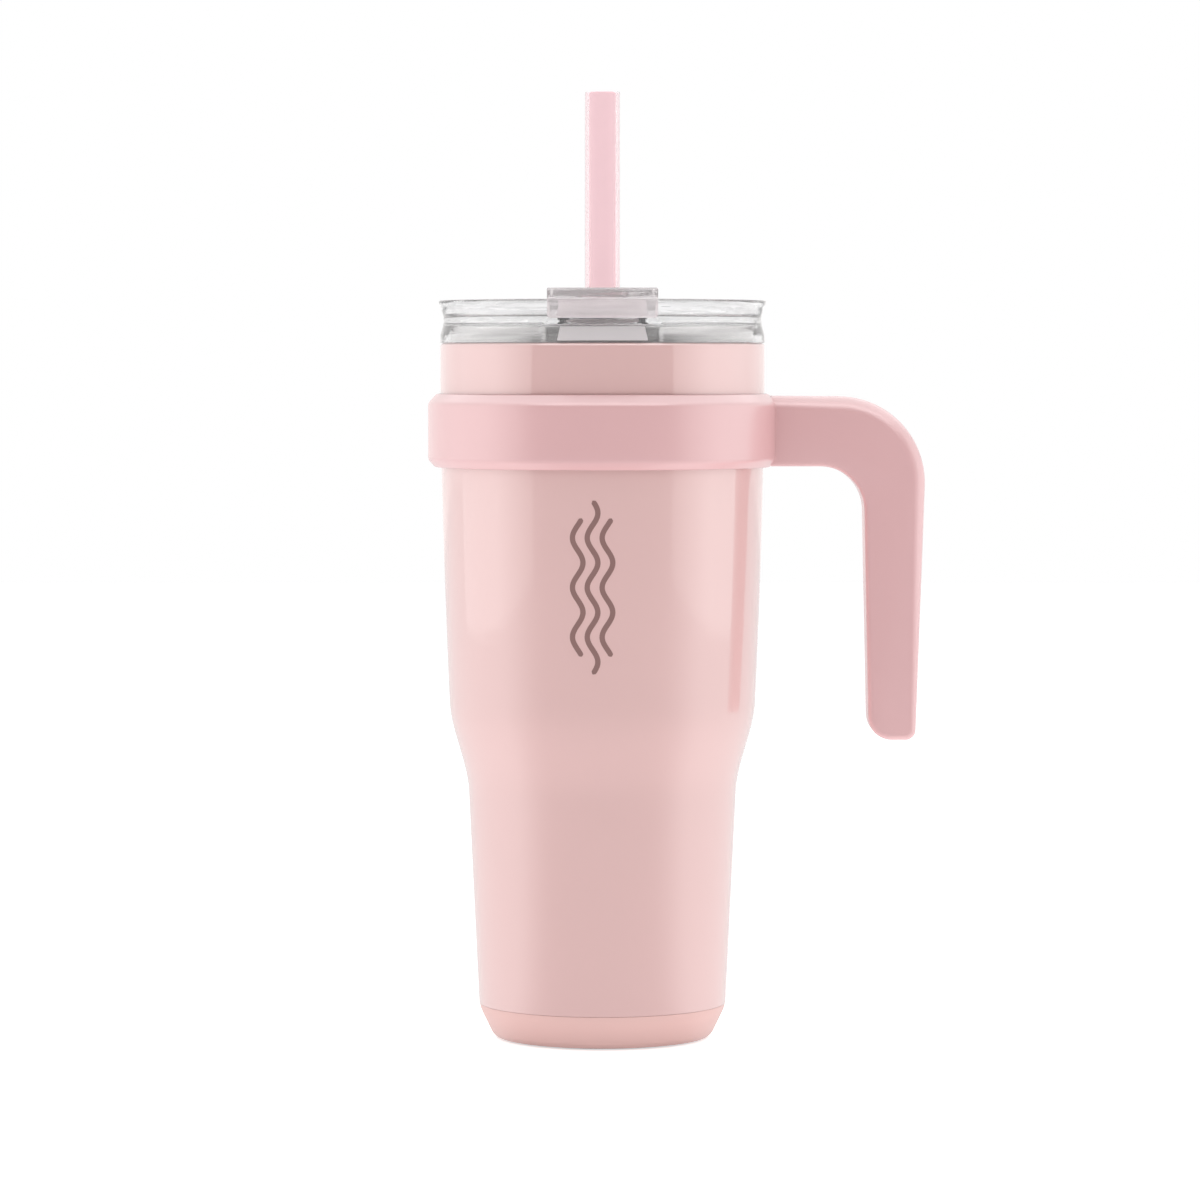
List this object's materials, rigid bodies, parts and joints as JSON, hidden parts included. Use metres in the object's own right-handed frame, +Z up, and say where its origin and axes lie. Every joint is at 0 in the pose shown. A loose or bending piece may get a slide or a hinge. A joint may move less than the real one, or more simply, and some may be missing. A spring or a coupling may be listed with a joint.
{
  "type": "insulated tumbler with lid",
  "caption": "Double-walled steel tumbler with a stepped taper, clear press-in lid with a flip-up sip flap, straw and a slip-on collar handle that is open at the bottom.",
  "frame": {"origin": "centre of the foot pad's underside, on the cup's axis, where the cup stands on a table", "axes": "+Z up along the cup's axis; the handle points to +X; the sip flap faces -Y"},
  "size_m": [0.1438, 0.101, 0.274],
  "materials": {
    "paint": "gloss",
    "steel": "brushed",
    "solder": "gloss",
    "getter": "sintered",
    "base_plastic": "satin",
    "grey_silicone": "matt",
    "handle_plastic": "satin",
    "silicone": "frosted",
    "clear_plastic": "clear",
    "straw_plastic": "translucent"
  },
  "bodies": {
    "cup": {"outer_shell": "paint", "inner_liner": "steel", "liner_floor": "steel", "outer_base_disc": "steel", "vacuum_seal_bead": "solder", "getter_pellet": "getter", "base_cap": "base_plastic", "foot_pad": "grey_silicone"},
    "handle": {"handle": "handle_plastic", "handle_band": "silicone"},
    "gasket": {"lid_gasket": "silicone"},
    "lid": {"lid_body": "clear_plastic", "straw_grommet": "silicone", "flap_hinge_pin": "steel"},
    "flap": {"sip_flap": "clear_plastic", "sip_plug": "silicone", "vent_plug": "silicone"},
    "straw": {"straw": "straw_plastic"}
  },
  "joints": [
    {"name": "handle_slide", "type": "slide", "parent": "cup", "child": "handle", "axis": [0, 0, -1], "range_m": [0, 0.19]},
    {"name": "lid_lift", "type": "slide", "parent": "cup", "child": "gasket", "axis": [0, 0, 1], "range_m": [0, 0.23]},
    {"name": "lid_turn", "type": "hinge", "parent": "gasket", "child": "lid", "pos_m": [0, 0, 0.2], "axis": [0, 0, 1], "continuous": true},
    {"name": "flap_open", "type": "hinge", "parent": "lid", "child": "flap", "pos_m": [0, -0.014, 0.213], "axis": [-1, 0, 0], "range_deg": [0, 95]},
    {"name": "straw_pull", "type": "slide", "parent": "lid", "child": "straw", "axis": [0, 0, 1], "range_m": [0, 0.23]}
  ]
}
